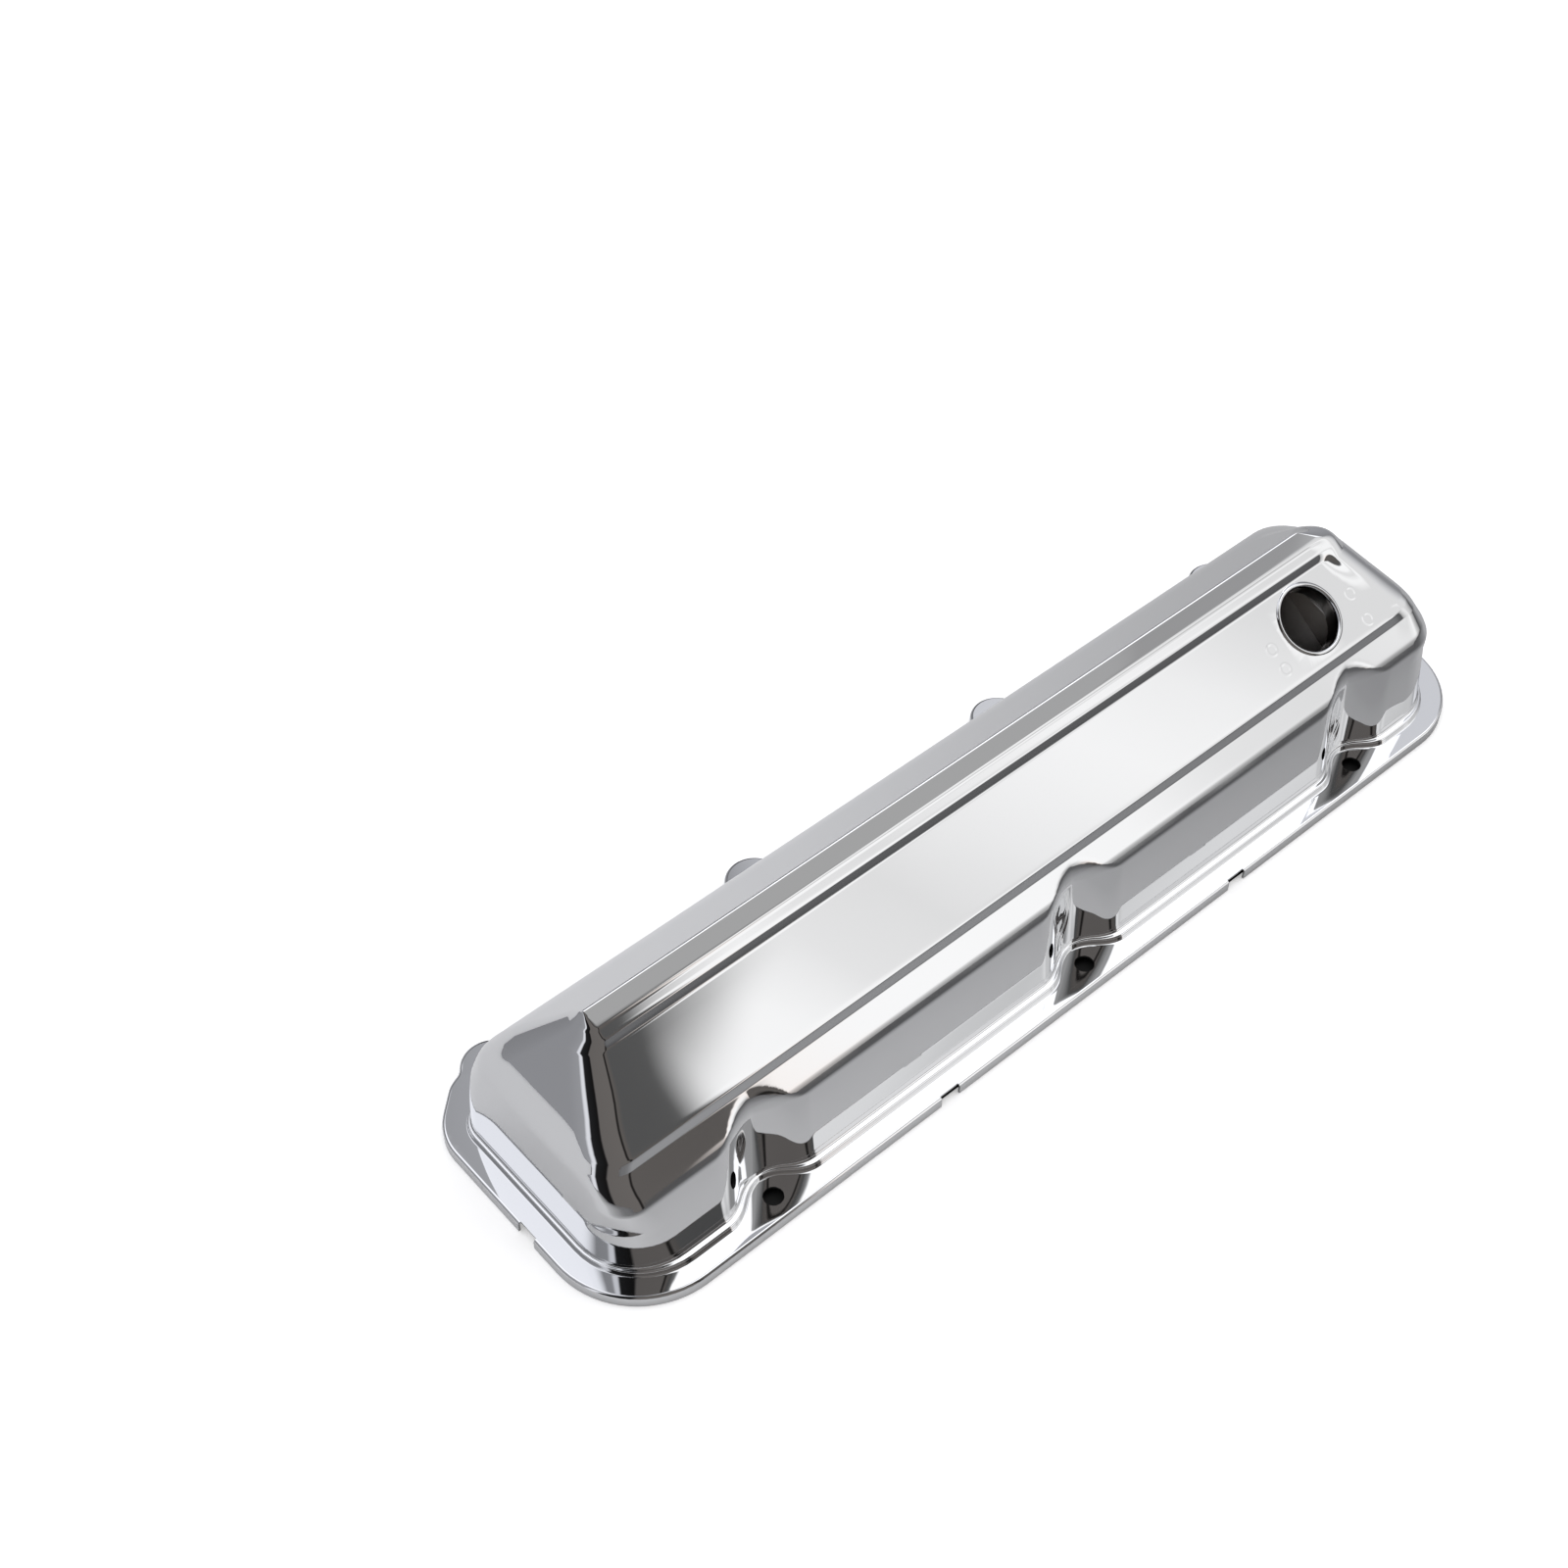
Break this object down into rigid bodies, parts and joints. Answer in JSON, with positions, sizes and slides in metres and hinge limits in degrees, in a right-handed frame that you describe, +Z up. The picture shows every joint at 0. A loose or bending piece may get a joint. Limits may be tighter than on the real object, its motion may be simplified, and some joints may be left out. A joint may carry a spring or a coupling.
{
  "type": "engine valve cover",
  "caption": "Pressed chrome-plated steel valve cover with a slanted ridge roof, bolt wells, eared flange, filler hole and an inside oil baffle",
  "frame": {"origin": "middle of the outline seen from above, at the free edge of the lip", "axes": "+Z up out of the roof, +X along the cover towards the filler hole, -Y towards the straight side with the row of bolt wells"},
  "size_m": [0.5124, 0.1502, 0.0958],
  "materials": {
    "chrome_plate": "mirror plated",
    "baffle_steel": "satin"
  },
  "bodies": {
    "root": {"cover_shell": "chrome_plate", "oil_baffle": "baffle_steel", "cross_channel": "baffle_steel"}
  },
  "joints": []
}
